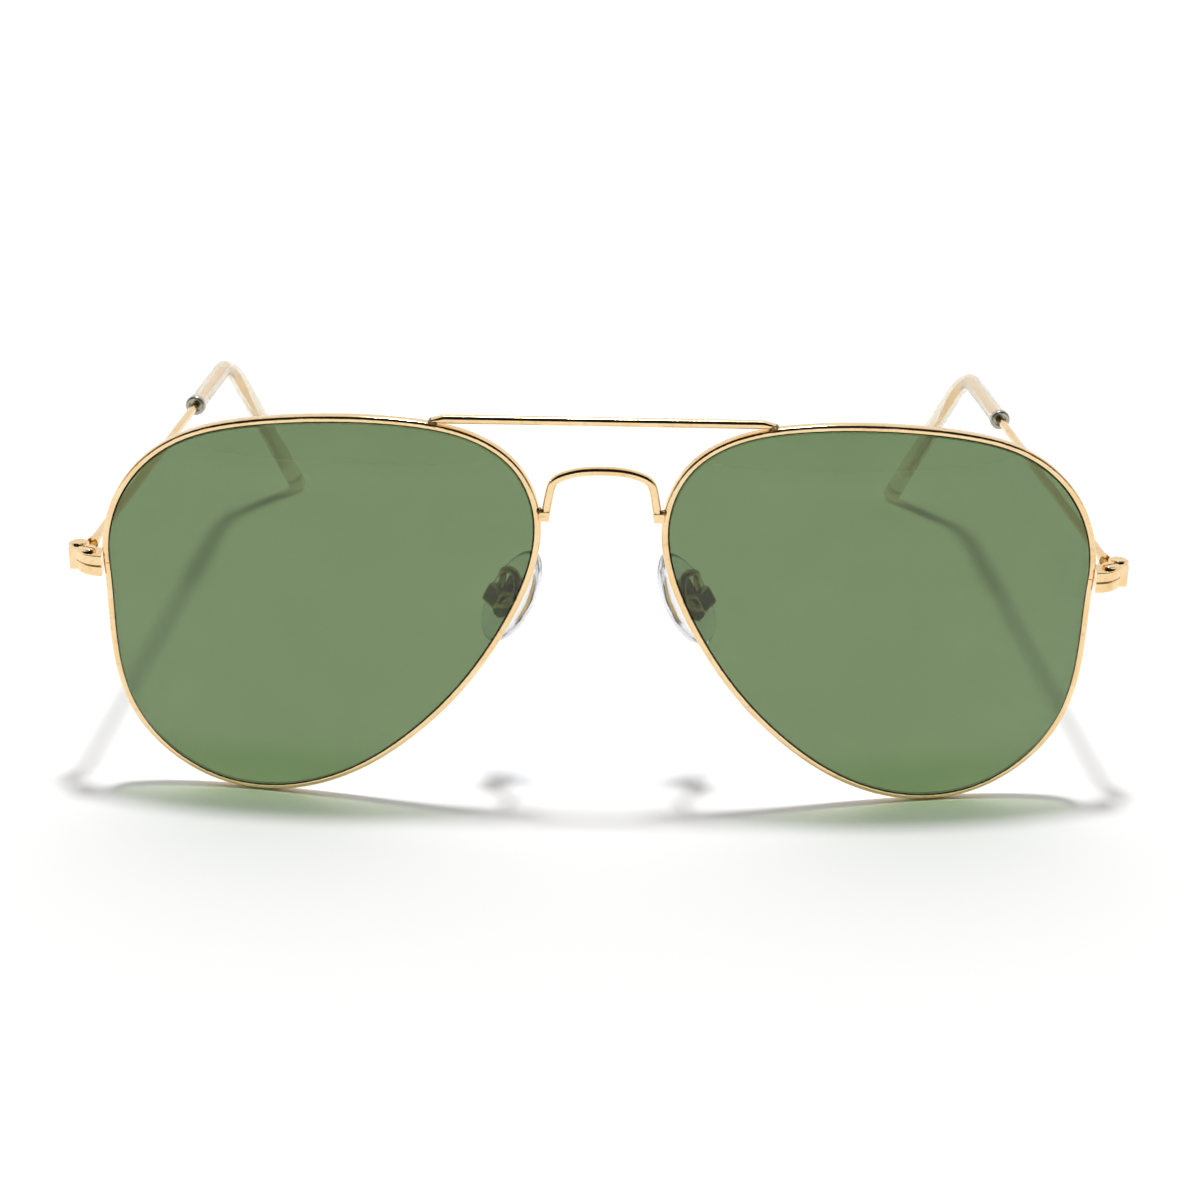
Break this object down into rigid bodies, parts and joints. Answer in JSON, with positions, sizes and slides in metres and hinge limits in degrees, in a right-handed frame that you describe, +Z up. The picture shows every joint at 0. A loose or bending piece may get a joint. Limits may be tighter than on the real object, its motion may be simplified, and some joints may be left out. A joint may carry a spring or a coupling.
{
  "type": "aviator sunglasses",
  "caption": "Wire-frame aviator sunglasses: teardrop tinted lenses in gold rims, brow bar and bridge, folding temples with ear tips and rocking nose pads.",
  "frame": {"origin": "middle of the footprint of the open glasses, on the surface they stand on", "axes": "+X towards the wearer's left, -Y the way the wearer looks, +Z up"},
  "size_m": [0.1428, 0.1273, 0.0554],
  "materials": {
    "gold": "polished gold plate",
    "dark_gold": "dull gold plate",
    "gunmetal": "satin gunmetal",
    "lens_green": "polished grey-green tint",
    "clear_pad": "clear soft gloss",
    "champagne_tip": "translucent gloss"
  },
  "bodies": {
    "front": {"brow_bar": "gold", "bridge": "gold", "left_rim": "gold", "left_lens": "lens_green", "left_closing_block_upper": "gold", "left_closing_block_lower": "gold", "left_rim_lock_screw": "gold", "left_hinge_front": "gold", "left_hinge_screw": "gold", "left_pad_box": "dark_gold", "left_pad_screw": "dark_gold", "left_pad_arm": "dark_gold", "right_rim": "gold", "right_lens": "lens_green", "right_closing_block_upper": "gold", "right_closing_block_lower": "gold", "right_rim_lock_screw": "gold", "right_hinge_front": "gold", "right_hinge_screw": "gold", "right_pad_box": "dark_gold", "right_pad_screw": "dark_gold", "right_pad_arm": "dark_gold"},
    "temple_left": {"left_temple_wire": "gold", "left_temple_tip": "champagne_tip", "left_tip_ferrule": "gunmetal", "left_temple_hinge_leaf": "gold"},
    "pad_left": {"left_pad_core": "dark_gold", "left_nose_pad": "clear_pad"},
    "temple_right": {"right_temple_wire": "gold", "right_temple_tip": "champagne_tip", "right_tip_ferrule": "gunmetal", "right_temple_hinge_leaf": "gold"},
    "pad_right": {"right_pad_core": "dark_gold", "right_nose_pad": "clear_pad"}
  },
  "joints": [
    {"name": "left_temple_fold", "type": "hinge", "parent": "front", "child": "temple_left", "pos_m": [0.07, -0.0532, 0.03265], "axis": [0, 0, 1], "range_deg": [0, 70]},
    {"name": "right_temple_fold", "type": "hinge", "parent": "front", "child": "temple_right", "pos_m": [-0.07, -0.0532, 0.03265], "axis": [0, 0, -1], "range_deg": [0, 82]},
    {"name": "left_pad_rock", "type": "hinge", "parent": "front", "child": "pad_left", "pos_m": [0.01375, -0.0539, 0.0279], "axis": [0.63, 0.7071, 0.321], "range_deg": [-8, 8]},
    {"name": "right_pad_rock", "type": "hinge", "parent": "front", "child": "pad_right", "pos_m": [-0.01375, -0.0539, 0.0279], "axis": [-0.63, 0.7071, 0.321], "range_deg": [-8, 8]}
  ]
}
